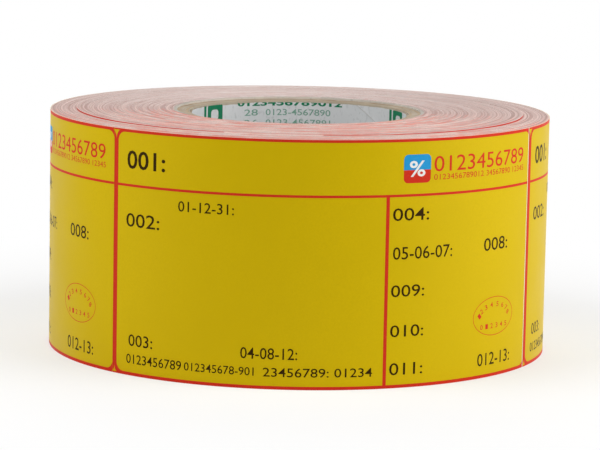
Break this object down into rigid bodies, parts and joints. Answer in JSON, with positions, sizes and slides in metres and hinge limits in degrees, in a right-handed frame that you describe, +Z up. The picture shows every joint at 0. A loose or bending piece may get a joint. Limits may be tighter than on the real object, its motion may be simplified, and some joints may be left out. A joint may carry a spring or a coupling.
{
  "type": "price label roll",
  "caption": "Roll of printed self-adhesive price labels, wound on a round paper core and stood on its end.",
  "frame": {"origin": "middle of the lower end, on the axis of the roll", "axes": "+Z up along the axis of the roll; the front label faces -Y"},
  "size_m": [0.1753, 0.1748, 0.0833],
  "materials": {
    "label_face": "satin",
    "backing_paper": "matte",
    "wound_web": "matte",
    "liner_paper": "matte",
    "core_board": "matte",
    "kraft_paper": "matte",
    "paper_tape": "satin"
  },
  "bodies": {
    "root": {"core_inner_liner": "liner_paper", "core_outer_ply": "kraft_paper", "lead_tape": "paper_tape", "inner_turns": "wound_web", "outer_backing": "backing_paper", "core_body_ply_1": "core_board", "core_body_ply_2": "core_board", "core_body_ply_3": "core_board", "label_01": "label_face", "label_02": "label_face", "label_03": "label_face", "label_04": "label_face", "label_05": "label_face", "label_06": "label_face", "label_07": "label_face", "label_08": "label_face", "label_09": "label_face", "label_10": "label_face", "label_11": "label_face", "label_12": "label_face", "label_13": "label_face"}
  },
  "joints": []
}
